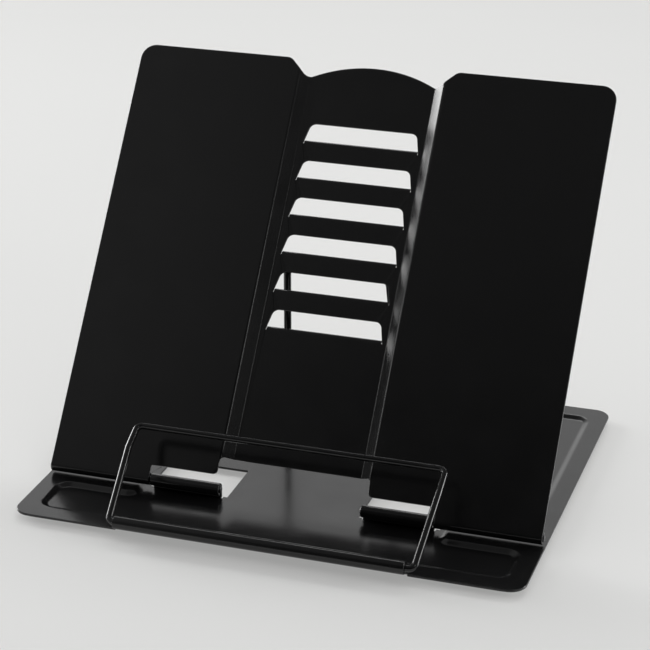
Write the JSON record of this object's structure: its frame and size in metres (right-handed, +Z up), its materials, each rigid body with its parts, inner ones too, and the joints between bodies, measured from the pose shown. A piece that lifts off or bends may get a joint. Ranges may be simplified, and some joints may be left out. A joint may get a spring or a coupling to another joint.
{
  "type": "book stand",
  "caption": "Folding black steel book stand: a slotted back panel hinged on a flat base, propped by a wire strut, with a wire page holder in front.",
  "frame": {"origin": "on the ground under the middle of the base plate", "axes": "+X to the reader's right along the hinge line, +Y to the rear, +Z up"},
  "size_m": [0.21, 0.1746, 0.158],
  "materials": {
    "painted_sheet": "semi-gloss black paint",
    "painted_wire": "gloss black paint",
    "pin_steel": "blackened steel",
    "foot_rubber": "matt"
  },
  "bodies": {
    "base": {"base_plate": "painted_sheet", "hinge_pin_left": "pin_steel", "hinge_pin_right": "pin_steel", "foot_front_left": "foot_rubber", "foot_front_right": "foot_rubber", "foot_rear_left": "foot_rubber", "foot_rear_right": "foot_rubber"},
    "panel": {"back_panel": "painted_sheet"},
    "strut": {"support_strut": "painted_wire"},
    "holder": {"page_holder": "painted_wire"}
  },
  "joints": [
    {"name": "panel_tilt", "type": "hinge", "parent": "base", "child": "panel", "pos_m": [0, -0.0444, 0.0069], "axis": [1, 0, 0], "range_deg": [0, 22]},
    {"name": "strut_fold", "type": "hinge", "parent": "base", "child": "strut", "pos_m": [0, 0.0296, 0.00545], "axis": [-1, 0, 0], "range_deg": [0, 98]},
    {"name": "page_holder_swing", "type": "hinge", "parent": "base", "child": "holder", "pos_m": [0, -0.0846, 0.0072], "axis": [1, 0, 0], "range_deg": [-4, 148]}
  ]
}
